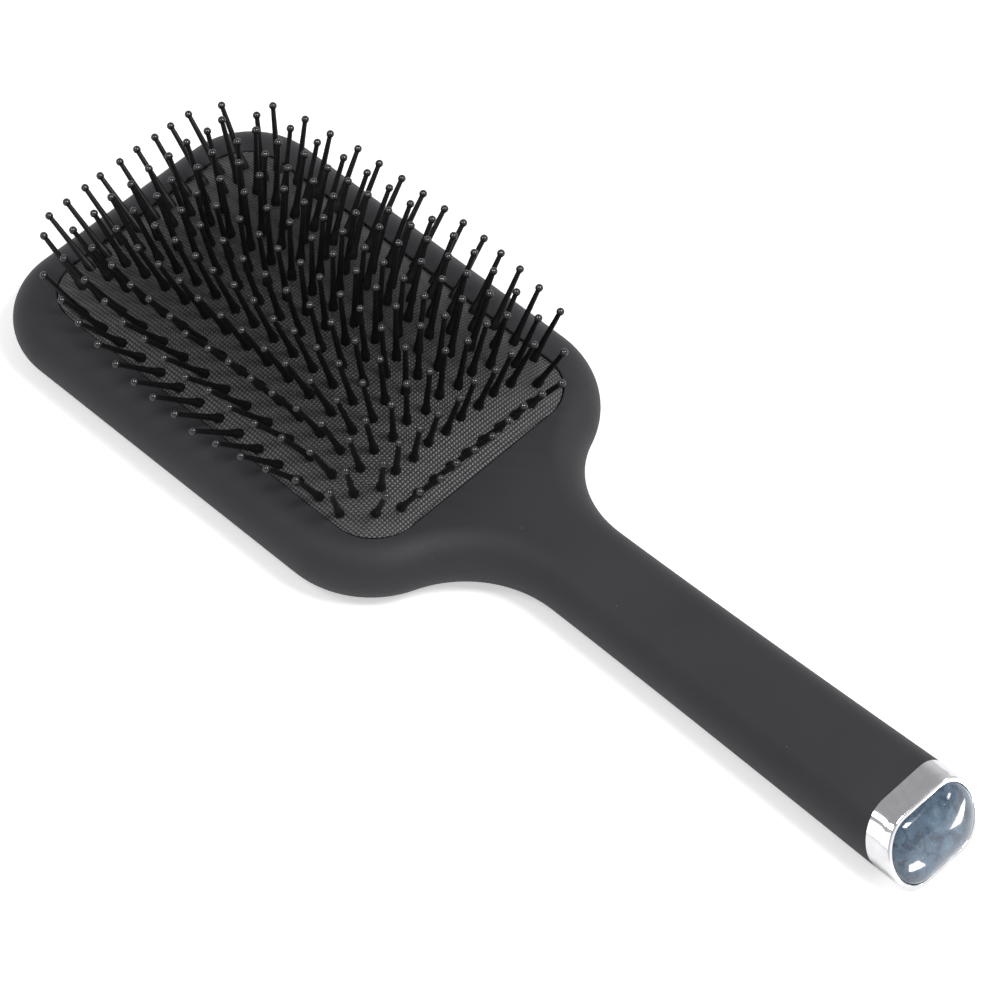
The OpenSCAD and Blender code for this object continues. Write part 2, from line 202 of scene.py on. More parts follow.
def softTouchCoat():
    mat, nodes, links, shader = newMaterial("softTouchCoat")
    place = objectMillimetres(nodes, links)
    cloud = noiseNode(nodes, links, place, 0.035, 4)
    colour = rampNode(nodes, links, cloud.outputs["Fac"], [
        (0.3, (0.0215, 0.0217, 0.0252)), (0.7, (0.0275, 0.0277, 0.0315))])
    # a few pale specks of dust
    speck = addNode(nodes, "ShaderNodeTexVoronoi", feature="F1")
    speck.inputs["Scale"].default_value = 0.16
    links.new(place, speck.inputs["Vector"])
    dust = mathNode(nodes, links, "LESS_THAN", speck.outputs["Distance"], 0.02)
    mix = addNode(nodes, "ShaderNodeMix", data_type="RGBA")
    links.new(dust, mix.inputs["Factor"])
    links.new(colour.outputs["Color"], mix.inputs["A"])
    mix.inputs["B"].default_value = (0.11, 0.105, 0.10, 1)
    links.new(mix.outputs["Result"], shader.inputs["Base Color"])
    grain = noiseNode(nodes, links, place, 2.6, 2)
    rough = rampNode(nodes, links, grain.outputs["Fac"], [(0.3, grey(0.56)), (0.7, grey(0.64))])
    links.new(rough.outputs["Color"], shader.inputs["Roughness"])
    shader.inputs["Sheen Weight"].default_value = 0.03
    shader.inputs["Sheen Roughness"].default_value = 0.5
    shader.inputs["Specular IOR Level"].default_value = 0.4
    bumpNode(nodes, links, shader, grain.outputs["Fac"], 0.00002, 0.35)
    return mat


def wovenRubber(pitch, halfSizes):
    # a small square grid; painted shade darkens its hollows and the middle among the pins, and painted light
    # makes it paler towards the pad's rim
    mat, nodes, links, shader = newMaterial("wovenRubber")
    place = objectMillimetres(nodes, links)
    split = addNode(nodes, "ShaderNodeSeparateXYZ")
    links.new(place, split.inputs[0])
    waves = []
    for axis in ("X", "Y"):
        turn = mathNode(nodes, links, "MULTIPLY", split.outputs[axis], math.pi / pitch)
        waves.append(mathNode(nodes, links, "ABSOLUTE", mathNode(nodes, links, "SINE", turn)))
    bumpShape = mathNode(nodes, links, "MULTIPLY", waves[0], waves[1])
    height = mathNode(nodes, links, "POWER", bumpShape, 0.55)
    # colour follows the weave's height: painted shade in the hollows and a painted highlight on the raised
    # points
    colour = rampNode(nodes, links, height, [
        (0.1, (0.004, 0.004, 0.0045)), (0.5, (0.020, 0.020, 0.021)), (0.95, (0.055, 0.055, 0.056))])
    worn = noiseNode(nodes, links, place, 0.4, 3)
    shares = []
    for axis, half in zip(("X", "Y"), halfSizes):
        part = mathNode(nodes, links, "DIVIDE", split.outputs[axis], half)
        shares.append(mathNode(nodes, links, "ABSOLUTE", part))
    # painted shade darkens the middle, where the pins shade the pad, and painted light brightens it near the
    # rim
    nearRim = mathNode(nodes, links, "POWER", mathNode(nodes, links, "MAXIMUM", *shares), 3.5)
    paintedPinShadeAndRimLight = rampNode(nodes, links, nearRim, [(0.05, grey(0.45)), (0.8, (2.0, 2.0, 2.02))])
    paintedShadeMultiply = addNode(nodes, "ShaderNodeMix", data_type="RGBA", blend_type="MULTIPLY")
    paintedShadeMultiply.inputs["Factor"].default_value = 1
    links.new(colour.outputs["Color"], paintedShadeMultiply.inputs["A"])
    links.new(paintedPinShadeAndRimLight.outputs["Color"], paintedShadeMultiply.inputs["B"])
    links.new(paintedShadeMultiply.outputs["Result"], shader.inputs["Base Color"])
    rough = rampNode(nodes, links, worn.outputs["Fac"], [(0.3, grey(0.36)), (0.7, grey(0.46))])
    links.new(rough.outputs["Color"], shader.inputs["Roughness"])
    shader.inputs["Specular IOR Level"].default_value = 0.55
    bumpNode(nodes, links, shader, height, 0.00016, 0.9)
    return mat


def mouldedNylon(name, colour, rough, spread, shine=0.5):
    mat, nodes, links, shader = newMaterial(name)
    place = objectMillimetres(nodes, links)
    drift = noiseNode(nodes, links, place, 0.8, 2)
    paler = tuple(c * 1.35 for c in colour)
    base = rampNode(nodes, links, drift.outputs["Fac"], [(0.3, colour), (0.7, paler)])
    links.new(base.outputs["Color"], shader.inputs["Base Color"])
    gloss = rampNode(nodes, links, drift.outputs["Fac"], [(0.25, grey(rough)), (0.75, grey(rough + spread))])
    links.new(gloss.outputs["Color"], shader.inputs["Roughness"])
    shader.inputs["Specular IOR Level"].default_value = shine
    bumpNode(nodes, links, shader, drift.outputs["Fac"], 0.00001, 0.3)
    return mat


def polishedChrome():
    mat, nodes, links, shader = newMaterial("polishedChrome")
    place = objectMillimetres(nodes, links)
    shader.inputs["Metallic"].default_value = 1.0
    haze = noiseNode(nodes, links, place, 0.5, 4)
    base = rampNode(nodes, links, haze.outputs["Fac"], [
        (0.3, (0.80, 0.80, 0.81)), (0.7, (0.88, 0.88, 0.89))])
    links.new(base.outputs["Color"], shader.inputs["Base Color"])
    rough = rampNode(nodes, links, haze.outputs["Fac"], [(0.3, grey(0.08)), (0.8, grey(0.14))])
    links.new(rough.outputs["Color"], shader.inputs["Roughness"])
    return mat


def zincSteel():
    mat, nodes, links, shader = newMaterial("zincSteel")
    place = objectMillimetres(nodes, links)
    shader.inputs["Metallic"].default_value = 1.0
    haze = noiseNode(nodes, links, place, 1.4, 3)
    base = rampNode(nodes, links, haze.outputs["Fac"], [
        (0.3, (0.46, 0.46, 0.47)), (0.7, (0.58, 0.58, 0.59))])
    links.new(base.outputs["Color"], shader.inputs["Base Color"])
    shader.inputs["Roughness"].default_value = 0.32
    bumpNode(nodes, links, shader, haze.outputs["Fac"], 0.00002, 0.3)
    return mat


def marbledStone():
    mat, nodes, links, shader = newMaterial("marbledStone")
    place = objectMillimetres(nodes, links)
    # a slow noise bends the place that the clouds are read at
    warp = noiseNode(nodes, links, place, 0.16, 5, 0.6)
    stretch = addNode(nodes, "ShaderNodeVectorMath", operation="MULTIPLY_ADD")
    links.new(warp.outputs["Color"], stretch.inputs[0])
    stretch.inputs[1].default_value = (7, 7, 7)
    links.new(place, stretch.inputs[2])
    cloud = noiseNode(nodes, links, stretch.outputs[0], 0.21, 10, 0.68)
    base = rampNode(nodes, links, cloud.outputs["Fac"], [
        (0.30, (0.008, 0.016, 0.030)), (0.40, (0.028, 0.052, 0.084)), (0.50, (0.058, 0.100, 0.148)),
        (0.60, (0.090, 0.145, 0.202)), (0.74, (0.160, 0.235, 0.300))])
    # half-strength dark veins, then a few pale flecks
    veins = addNode(nodes, "ShaderNodeTexWave", wave_type="BANDS", bands_direction="DIAGONAL")
    veins.inputs["Scale"].default_value = 0.05
    veins.inputs["Distortion"].default_value = 14
    veins.inputs["Detail"].default_value = 5
    veins.inputs["Detail Scale"].default_value = 0.9
    links.new(place, veins.inputs["Vector"])
    darkVein = mathNode(nodes, links, "LESS_THAN", veins.outputs["Fac"], 0.02)
    softVein = mathNode(nodes, links, "MULTIPLY", darkVein, 0.5)
    mixDark = addNode(nodes, "ShaderNodeMix", data_type="RGBA")
    links.new(softVein, mixDark.inputs["Factor"])
    links.new(base.outputs["Color"], mixDark.inputs["A"])
    mixDark.inputs["B"].default_value = (0.018, 0.032, 0.052, 1)
    flecks = noiseNode(nodes, links, stretch.outputs[0], 0.9, 6, 0.7)
    fleckMask = mathNode(nodes, links, "GREATER_THAN", flecks.outputs["Fac"], 0.685)
    mixLight = addNode(nodes, "ShaderNodeMix", data_type="RGBA")
    links.new(fleckMask, mixLight.inputs["Factor"])
    links.new(mixDark.outputs["Result"], mixLight.inputs["A"])
    mixLight.inputs["B"].default_value = (0.62, 0.70, 0.75, 1)
    # dark patches, only towards the -y side
    split = addNode(nodes, "ShaderNodeSeparateXYZ")
    links.new(place, split.inputs[0])
    side = addNode(nodes, "ShaderNodeMapRange")
    side.inputs["From Min"].default_value = -1
    side.inputs["From Max"].default_value = -10
    links.new(split.outputs["Y"], side.inputs["Value"])
    clump = noiseNode(nodes, links, stretch.outputs[0], 0.42, 7, 0.65)
    clumpMask = addNode(nodes, "ShaderNodeMapRange")
    clumpMask.inputs["From Min"].default_value = 0.48
    clumpMask.inputs["From Max"].default_value = 0.60
    links.new(clump.outputs["Fac"], clumpMask.inputs["Value"])
    dark = mathNode(nodes, links, "MULTIPLY", side.outputs["Result"], clumpMask.outputs["Result"])
    mixSide = addNode(nodes, "ShaderNodeMix", data_type="RGBA")
    links.new(dark, mixSide.inputs["Factor"])
    links.new(mixLight.outputs["Result"], mixSide.inputs["A"])
    mixSide.inputs["B"].default_value = (0.012, 0.020, 0.040, 1)
    links.new(mixSide.outputs["Result"], shader.inputs["Base Color"])
    polish = rampNode(nodes, links, cloud.outputs["Fac"], [(0.3, grey(0.10)), (0.7, grey(0.16))])
    links.new(polish.outputs["Color"], shader.inputs["Roughness"])
    shader.inputs["Coat Weight"].default_value = 1.0
    shader.inputs["Coat Roughness"].default_value = 0.02
    shader.inputs["Coat IOR"].default_value = 1.55
    return mat


coatMat = softTouchCoat()
pinMat = mouldedNylon("blackNylon", (0.0035, 0.0035, 0.0038), 0.36, 0.1, 0.3)
tipMat = mouldedNylon("dippedTip", (0.004, 0.004, 0.0045), 0.10, 0.04, 0.6)
frameMat = mouldedNylon("plainMoulding", (0.02, 0.02, 0.021), 0.45, 0.1)
chromeMat = polishedChrome()
steelMat = zincSteel()
stoneMat = marbledStone()
bedMat = mouldedNylon("backingFilm", (0.3, 0.35, 0.4), 0.4, 0.1)
print("materials made")


# the coated body: two shells that meet with no line

body = {
    "headLength": 123, "headWidth": 84, "thick": 15, "tipCorner": 19, "neckCorner": 24, "wall": 2.4,
    "reach": 173, "neckWidth": 22.6, "handleWidth": 26, "handleThick": 16.6, "hollow": 25, "flarePower": 1.4,
    "openLength": 105, "openWidth": 64, "openCorner": 11,
    "lip": 4, "lipReach": 4.9, "lipSink": 1.7, "lipRound": 0.35, "lipRunOut": 1.2,
    "jointTilt": 20, "overrun": 12, "arcSteps": 26, "edgeSteps": 18, "innerSteps": 6,
}
edgeR = body["thick"] / 2
midZ = body["thick"] / 2
innerR = edgeR - 2
cornerX = body["headLength"] / 2 - body["neckCorner"]
cornerY = body["headWidth"] / 2 - body["neckCorner"]
hollowY = body["neckWidth"] / 2 + body["hollow"]
hollowX = cornerX + math.sqrt((body["neckCorner"] + body["hollow"]) ** 2 - (hollowY - cornerY) ** 2)
touchAngle = math.degrees(math.atan2(hollowY - cornerY, hollowX - cornerX))
shellEnd = body["reach"] + body["overrun"]  # cut back to the slanted joint later
endMidZ = body["handleThick"] / 2


def flare(x):
    share = min(1, max(0, (x - hollowX) / (body["reach"] - hollowX)))
    return share ** body["flarePower"]


def sideY(x):
    return body["neckWidth"] / 2 + (body["handleWidth"] - body["neckWidth"]) / 2 * flare(x)


def thicken(x):
    return 1 + (body["handleThick"] / body["thick"] - 1) * flare(x)


def halfOutline(d, endX):
    # from the handle's end round to the tip, moved in by d; each stretch stops just short of the next
    steps = body["arcSteps"]
    tip = body["tipCorner"]
    side = [(endX + (hollowX + 1 - endX) * i / steps, 0) for i in range(steps + 1)]
    side = [(x, sideY(x) - d) for x, _ in side]
    return (side
            + arcPoints(hollowX, hollowY, body["hollow"] + d, 270, 180 + touchAngle, steps)
            + arcPoints(cornerX, cornerY, body["neckCorner"] - d, touchAngle + 2, 90, steps)
            + arcPoints(tip - body["headLength"] / 2, body["headWidth"] / 2 - tip, tip - d, 90, 180, steps))


def bodyRing(d, z, endX):
    return [(x, y, z * thicken(x)) for x, y in mirrored(halfOutline(d, endX))]


def shellMesh(name, sign):
    # sign -1 is the back half, +1 the front half
    steps = body["edgeSteps"]
    outer = []
    for i in range(steps):
        a = math.radians(90 - 90 * i / steps)
        outer.append(bodyRing(edgeR * (1 - math.cos(a)), midZ + sign * edgeR * math.sin(a), shellEnd))
    seam = [bodyRing(0, midZ, shellEnd), bodyRing(body["wall"], midZ, shellEnd - 2)]
    inner = []
    for i in range(body["innerSteps"]):
        a = math.radians(90 * (i + 1) / body["innerSteps"])
        inset = body["wall"] + innerR * (1 - math.cos(a))
        inner.append(bodyRing(inset, midZ + sign * innerR * math.sin(a), shellEnd - 2))
    return loft(name, outer + seam + inner)


def roundedHalf(halfL, halfW, r, steps=12, side=24):
    flat = [((halfL - r) * (1 - 2 * i / side), halfW) for i in range(1, side)]
    nearEnd = arcPoints(halfL - r, halfW - r, r, 0, 90, steps)
    farEnd = arcPoints(r - halfL, halfW - r, r, 90, 180, steps)
    return nearEnd + flat + farEnd


def openingRing(grow, z):
    half = roundedHalf(body["openLength"] / 2 + grow, body["openWidth"] / 2 + grow, body["openCorner"] + grow)
    return [(x, y, z) for x, y in mirrored(half)]


def beyondJoint():
    # slanted block past the joint with the cap, larger than the handle all round
    points = [(x, y, z) for x in (0, 60) for y in (-40, 40) for z in (-40, 40)]
    faces = [(0, 1, 3, 2), (4, 6, 7, 5), (0, 4, 5, 1), (2, 3, 7, 6), (0, 2, 6, 4), (1, 5, 7, 3)]
    mesh = meshFrom("beyondJoint", points, faces, smooth=False)
    mesh.transform(Matrix.Rotation(math.radians(-body["jointTilt"]), 4, "Y"))
    mesh.transform(Matrix.Translation((body["reach"] * mm, 0, endMidZ * mm)))
    return linkObject("beyondJoint", mesh)


backShell = linkObject("backShell", shellMesh("backShell", -1))
cutWith(backShell, beyondJoint(), "DIFFERENCE")

frontShell = linkObject("frontShell", shellMesh("frontShell", 1))
lipLow = body["thick"] - body["lip"]
blockRings = [openingRing(body["lipReach"], z) for z in (lipLow, body["thick"] - body["lipSink"])]
cutWith(frontShell, linkObject("lipBlock", loft("lipBlock", blockRings)), "UNION")
# the opening, with a small round at its lip
lipCut = [openingRing(0, lipLow - 1), openingRing(0, body["thick"] - body["lipRound"])]
for angle in (15, 30, 45, 60, 72):
    a = math.radians(angle)
    grow = body["lipRound"] * (1 - math.cos(a))
    lipCut.append(openingRing(grow, body["thick"] - body["lipRound"] * (1 - math.sin(a))))
for above in (0.3, 3):
    lipCut.append(openingRing(body["lipRound"] + body["lipRunOut"], body["thick"] + above))
cutWith(frontShell, linkObject("lipCut", loft("lipCut", lipCut)), "DIFFERENCE")
cutWith(frontShell, beyondJoint(), "DIFFERENCE")

for shell, node in ((backShell, "back_shell"), (frontShell, "front_shell")):
    shell.data.materials.clear()
    shell.data.materials.append(coatMat)
    smoothByAngle(shell, 32)
    favourLargeFaces(shell)
    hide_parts(node)
    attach(shell, "brush")
print("body made", len(frontShell.data.polygons), len(backShell.data.polygons))


# the rubber cushion

cushion = {
    "gap": 0.3, "drop": 0.5, "rise": 9, "acrossPower": 2.4, "alongPower": 3, "rubber": 1.4,
    "weavePitch": 0.78, "weaveRelief": 0.07, "edgeDepth": 1.6,
    "flange": 4.2, "flangeThick": 2, "flangeGap": 0.05, "flangeBelowEdge": 0.3,
}
padHalfL = body["openLength"] / 2 - cushion["gap"]
padHalfW = body["openWidth"] / 2 - cushion["gap"]
padR = body["openCorner"] - cushion["gap"]
rimZ = body["thick"] - cushion["drop"]
edgeZ = rimZ - cushion["edgeDepth"]
rubberMat = wovenRubber(cushion["weavePitch"], (padHalfL, padHalfW))


def share(v, limit, power):
    return 1 - min(1, abs(v) / limit) ** power


def dome(x, y):
    fall = share(y, padHalfW, cushion["acrossPower"]) * share(x, padHalfL, cushion["alongPower"])
    return rimZ + cushion["rise"] * fall


def insideRounded(x, y, halfL, halfW, r):
    # distance inside a rounded rectangle, negative outside
    qx, qy = abs(x) - (halfL - r), abs(y) - (halfW - r)
    return r - math.hypot(max(qx, 0), max(qy, 0)) - min(max(qx, qy), 0)


def makeCushion():
    # a grid at half the weave's pitch, so that every other point stands up, filled out to the rim
    step = cushion["weavePitch"] / 2
    nx, ny = int(padHalfL / step) + 1, int(padHalfW / step) + 1
    bm = bmesh.new()
    grid = {}
    for i in range(-nx, nx + 1):
        for j in range(-ny, ny + 1):
            x, y = i * step, j * step
            if insideRounded(x, y, padHalfL, padHalfW, padR) > 0.55:
                grid[i, j] = bm.verts.new((x, y, 0))
    for (i, j), v in grid.items():
        corners = [grid.get(key) for key in ((i, j), (i + 1, j), (i + 1, j + 1), (i, j + 1))]
        if all(corners):
            bm.faces.new(corners)
    loose = [v for v in bm.verts if not v.link_faces]
    bmesh.ops.delete(bm, geom=loose, context="VERTS")
    rimPoints = mirrored(roundedHalf(padHalfL, padHalfW, padR, 24, 120))
    rim = [bm.verts.new((x, y, 0)) for x, y in rimPoints]
    rimEdges = [bm.edges.new((rim[i], rim[(i + 1) % len(rim)])) for i in range(len(rim))]
    edgeLoop = [e for e in bm.edges if len(e.link_faces) == 1]
    bmesh.ops.triangle_fill(bm, edges=edgeLoop + rimEdges, use_beauty=True)
    for v in bm.verts:
        x, y = v.co.x, v.co.y
        inside = insideRounded(x, y, padHalfL, padHalfW, padR)
        lift = 0
        if inside > 0.5:
            odd = (round(x / step) % 2) + (round(y / step) % 2)
            lift = cushion["weaveRelief"] * (odd - 1)
        v.co.z = dome(x, y) + lift
    bm.normal_update()
    # the turned-down edge, then the hidden face under the rubber
    low = [bm.verts.new((v.co.x, v.co.y, edgeZ)) for v in rim]
    wall = cushion["rubber"]
    inner = mirrored(roundedHalf(padHalfL - wall, padHalfW - wall, padR - wall, 24, 120))
    n = len(rim)
    loops = [rim, low, [bm.verts.new((x, y, edgeZ)) for x, y in inner]]
    for s in (0.995, 0.93, 0.84, 0.72, 0.56, 0.38, 0.2, 0.05):
        loops.append([bm.verts.new((x * s, y * s, dome(x * s, y * s) - wall)) for x, y in inner])
    for a, b in zip(loops, loops[1:]):
        for i in range(n):
            j = (i + 1) % n
            bm.faces.new((a[i], a[j], b[j], b[i]))
    bm.faces.new(list(reversed(loops[-1])))
    bmesh.ops.recalc_face_normals(bm, faces=bm.faces)
    for v in bm.verts:
        v.co *= mm
    mesh = bpy.data.meshes.new("cushionSkin")
    bm.to_mesh(mesh)
    bm.free()
    for poly in mesh.polygons:
        poly.use_smooth = True
    return linkObject("cushionSkin", mesh)


cushionSkin = makeCushion()
cushionSkin.data.materials.append(rubberMat)
smoothByAngle(cushionSkin, 60)

# the flange that the frame holds under the lip
flangeTop = lipLow - cushion["flangeGap"]
flangeLow = lipLow - cushion["flangeThick"] + cushion["flangeGap"]
collarTop = edgeZ - cushion["flangeBelowEdge"]
flangeRings = []
for grow, z in (
        (-cushion["rubber"], collarTop), (-cushion["rubber"], flangeLow), (cushion["flange"], flangeLow),
        (cushion["flange"], flangeTop), (0, flangeTop), (0, collarTop)):
    half = roundedHalf(padHalfL + grow, padHalfW + grow, padR + grow)
    flangeRings.append([(x, y, z) for x, y in mirrored(half)])
flangeRings.append(flangeRings[0])
cushionFlange = linkObject("cushionFlange", loft("cushionFlange", flangeRings, closeEnds=False))
welded = bmesh.new()
welded.from_mesh(cushionFlange.data)
bmesh.ops.remove_doubles(welded, verts=welded.verts, dist=1e-7)
bmesh.ops.recalc_face_normals(welded, faces=welded.faces)
welded.to_mesh(cushionFlange.data)
welded.free()
cushionFlange.data.materials.append(rubberMat)
smoothByAngle(cushionFlange, 30)
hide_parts("cushion_pad")
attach(cushionSkin, "brush")
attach(cushionFlange, "brush")
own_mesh(cushionSkin)
print("cushion made", len(cushionSkin.data.polygons))


# pins and their balls, one group for each ring

pins = {
    "columns": 6, "pitch": 4.9, "full": 17, "margin": 4.5, "nextIn": 2.7, "lastIn": 8.5,
    "leanAcross": 48.5, "easeAcross": 0.84, "easePower": 2.4,
    "leanAlong": 38.5, "evenShare": 0.15, "endPower": 4.6, "tipward": 6.5, "wobble": 0.014, "seed": 7,
    "length": 14.8, "rootD": 2.2, "shankD": 1.4, "neckD": 1.05, "ballD": 1.8, "ballSeat": 0.35,
    "footD": 3.0, "footThick": 0.9, "footBevel": 0.2, "footGap": 2.4,
}
fullReach = body["openLength"] / 2 - pins["margin"]
footDrop = cushion["rubber"] + pins["footGap"]


def columnCount(j):
    return {6: 14, 5: 15}.get(abs(j), pins["full"] - abs(j) % 2)


def columnReach(j):
    return fullReach - {6: pins["lastIn"], 5: pins["nextIn"]}.get(abs(j), 0)


def pinPlaces():
    # foot point and lean of every pin, by its ring from the rim inwards
    rng = random.Random(pins["seed"])
    sinAcross = math.sin(math.radians(pins["leanAcross"]))
    sinAlong = math.sin(math.radians(pins["leanAlong"]))
    sinTipward = math.sin(math.radians(pins["tipward"]))
    rings = {}
    for j in range(-pins["columns"], pins["columns"] + 1):
        count = columnCount(j)
        for k in range(count):
            x = columnReach(j) * (2 * k / (count - 1) - 1)
            y = j * pins["pitch"]
            u, v = x / fullReach, y / (pins["pitch"] * pins["columns"])
            curved = math.copysign(abs(u) ** pins["endPower"], u)
            ends = pins["evenShare"] * u + (1 - pins["evenShare"]) * curved
            sides = v * (1 - pins["easeAcross"] * abs(u) ** pins["easePower"])
            nx = sinAlong * ends - sinTipward + rng.gauss(0, pins["wobble"])
            ny = sinAcross * sides + rng.gauss(0, pins["wobble"])
            lean = Vector((nx, ny, math.sqrt(1 - nx * nx - ny * ny)))
            ring = min(pins["columns"] - abs(j), k, count - 1 - k)
            rings.setdefault(ring, []).append(((x, y, dome(x, y)), lean))
    return rings


def newTree(name, numbers):
    tree = bpy.data.node_groups.new(name, "GeometryNodeTree")
    tree.interface.new_socket("Geometry", in_out="INPUT", socket_type="NodeSocketGeometry")
    for label, value in numbers:
        item = tree.interface.new_socket(label, in_out="INPUT", socket_type="NodeSocketFloat")
        item.default_value = value
    tree.interface.new_socket("Finish", in_out="INPUT", socket_type="NodeSocketMaterial")
    tree.interface.new_socket("Geometry", in_out="OUTPUT", socket_type="NodeSocketGeometry")
    return tree


def standOnPoints(tree, shape, into, out):
    nodes, links = tree.nodes, tree.links
    lean = nodes.new("GeometryNodeInputNamedAttribute")
    lean.data_type = "FLOAT_VECTOR"
    lean.inputs["Name"].default_value = "lean"
    turn = nodes.new("FunctionNodeAlignRotationToVector")
    turn.axis = "Z"
    stand = nodes.new("GeometryNodeInstanceOnPoints")
    real = nodes.new("GeometryNodeRealizeInstances")
    paint = nodes.new("GeometryNodeSetMaterial")
    links.new(lean.outputs["Attribute"], turn.inputs["Vector"])
    links.new(into.outputs["Geometry"], stand.inputs["Points"])
    links.new(shape, stand.inputs["Instance"])
    links.new(turn.outputs["Rotation"], stand.inputs["Rotation"])
    links.new(stand.outputs["Instances"], real.inputs["Geometry"])
    links.new(real.outputs["Geometry"], paint.inputs["Geometry"])
    links.new(into.outputs["Finish"], paint.inputs["Material"])
    links.new(paint.outputs["Geometry"], out.inputs["Geometry"])


def tableCurve(nodes, links, factor, values, top):
    # straight segments through the given values, one for each step of the factor
    node = nodes.new("ShaderNodeFloatCurve")
    curve = node.mapping.curves[0]
    last = len(values) - 1
    while len(curve.points) < len(values):
        curve.points.new(0.5, 0.5)
    for i, value in enumerate(values):
        curve.points[i].location = (i / last, value / top)
        curve.points[i].handle_type = "VECTOR"
    node.mapping.use_clip = False
    node.mapping.update()
    links.new(factor, node.inputs["Value"])
    scaleUp = nodes.new("ShaderNodeMath")
    scaleUp.operation = "MULTIPLY"
    links.new(node.outputs[0], scaleUp.inputs[0])
    scaleUp.inputs[1].default_value = top * mm
    return scaleUp.outputs[0]


def pinTree():
    tree = newTree("nylonPins", [("Root Diameter", pins["rootD"] * mm), ("Sides", 12.0)])
    nodes, links = tree.nodes, tree.links
    into, out = nodes.new("NodeGroupInput"), nodes.new("NodeGroupOutput")
    root, slim, neck, foot = (pins[k] / 2 for k in ("rootD", "shankD", "neckD", "footD"))
    tipZ = pins["length"] + pins["ballSeat"]
    low, bevel = -footDrop - pins["footThick"], pins["footBevel"]
    # height and radius, from the foot under the rubber up to the neck in the ball
    profile = [
        (low, foot - bevel), (low + bevel, foot), (-footDrop, foot), (-footDrop + 0.02, root),
        (0.6, root), (1.1, root - 0.04), (1.7, root - 0.14),
        (2.4, slim + 0.13), (3.3, slim + 0.05), (4.6, slim),
        (pins["length"] * 0.62, (slim + neck) / 2), (tipZ, neck)]
    line = nodes.new("GeometryNodeCurvePrimitiveLine")
    fine = nodes.new("GeometryNodeResampleCurve")
    fine.inputs["Count"].default_value = len(profile)
    index = nodes.new("GeometryNodeInputIndex")
    part = nodes.new("ShaderNodeMath")
    part.operation = "DIVIDE"
    part.inputs[1].default_value = len(profile) - 1
    links.new(index.outputs[0], part.inputs[0])
    height = tableCurve(nodes, links, part.outputs[0], [z - low for z, _ in profile], tipZ - low)
    radius = tableCurve(nodes, links, part.outputs[0], [r for _, r in profile], 1.6)
    lift = nodes.new("ShaderNodeMath")
    lift.operation = "ADD"
    lift.inputs[1].default_value = low * mm
    links.new(height, lift.inputs[0])
    spot = nodes.new("ShaderNodeCombineXYZ")
    links.new(lift.outputs[0], spot.inputs["Z"])
    move = nodes.new("GeometryNodeSetPosition")
    links.new(line.outputs["Curve"], fine.inputs["Curve"])
    links.new(fine.outputs["Curve"], move.inputs["Geometry"])
    links.new(spot.outputs[0], move.inputs["Position"])
    # the root diameter scales every radius
    grow = nodes.new("ShaderNodeMath")
    grow.operation = "DIVIDE"
    links.new(into.outputs["Root Diameter"], grow.inputs[0])
    grow.inputs[1].default_value = pins["rootD"] * mm
    scaled = nodes.new("ShaderNodeMath")
    scaled.operation = "MULTIPLY"
    links.new(radius, scaled.inputs[0])
    links.new(grow.outputs[0], scaled.inputs[1])
    setR = nodes.new("GeometryNodeSetCurveRadius")
    links.new(move.outputs["Geometry"], setR.inputs["Curve"])
    links.new(scaled.outputs[0], setR.inputs["Radius"])
    circle = nodes.new("GeometryNodeCurvePrimitiveCircle")
    circle.inputs["Radius"].default_value = 1.0
    links.new(into.outputs["Sides"], circle.inputs["Resolution"])
    skin = nodes.new("GeometryNodeCurveToMesh")
    skin.inputs["Fill Caps"].default_value = True
    links.new(setR.outputs["Curve"], skin.inputs["Curve"])
    links.new(circle.outputs["Curve"], skin.inputs["Profile Curve"])
    useR = nodes.new("GeometryNodeInputRadius")
    links.new(useR.outputs[0], skin.inputs["Scale"])
    standOnPoints(tree, skin.outputs["Mesh"], into, out)
    return tree


def tipTree():
    tree = newTree("ballTips", [("Ball Diameter", pins["ballD"] * mm), ("Height", pins["length"] * mm)])
    nodes, links = tree.nodes, tree.links
    into, out = nodes.new("NodeGroupInput"), nodes.new("NodeGroupOutput")
    half = nodes.new("ShaderNodeMath")
    half.operation = "DIVIDE"
    half.inputs[1].default_value = 2
    links.new(into.outputs["Ball Diameter"], half.inputs[0])
    ball = nodes.new("GeometryNodeMeshUVSphere")
    ball.inputs["Segments"].default_value = 14
    ball.inputs["Rings"].default_value = 9
    links.new(half.outputs[0], ball.inputs["Radius"])
    spot = nodes.new("ShaderNodeCombineXYZ")
    links.new(into.outputs["Height"], spot.inputs["Z"])
    lift = nodes.new("GeometryNodeTransform")
    links.new(ball.outputs["Mesh"], lift.inputs["Geometry"])
    links.new(spot.outputs[0], lift.inputs["Translation"])
    standOnPoints(tree, lift.outputs["Geometry"], into, out)
    return tree


def socketId(tree, label):
    for item in tree.interface.items_tree:
        if item.item_type == "SOCKET" and item.in_out == "INPUT" and item.name == label:
            return item.identifier
    raise KeyError(label)


def growFromPoints(name, places, tree, finish):
    mesh = bpy.data.meshes.new(name)
    mesh.from_pydata([[c * mm for c in p] for p, _ in places], [], [])
    lean = mesh.attributes.new("lean", "FLOAT_VECTOR", "POINT")
    for i, (_, n) in enumerate(places):
        lean.data[i].vector = n
    obj = linkObject(name, mesh)
    mod = obj.modifiers.new("grow", "NODES")
    mod.node_group = tree
    mod[socketId(tree, "Finish")] = finish
    deps = bpy.context.evaluated_depsgraph_get()
    done = bpy.data.meshes.new_from_object(obj.evaluated_get(deps))
    obj.modifiers.clear()
    obj.data = done
    bm = bmesh.new()
    bm.from_mesh(done)
    bmesh.ops.remove_doubles(bm, verts=bm.verts, dist=1e-8)
    bmesh.ops.recalc_face_normals(bm, faces=bm.faces)
    bm.to_mesh(done)
    bm.free()
    if not done.materials:
        done.materials.append(finish)
    for attribute in [a for a in done.attributes if a.name == "lean"]:
        done.attributes.remove(attribute)
    smoothByAngle(obj, 50)
    return obj


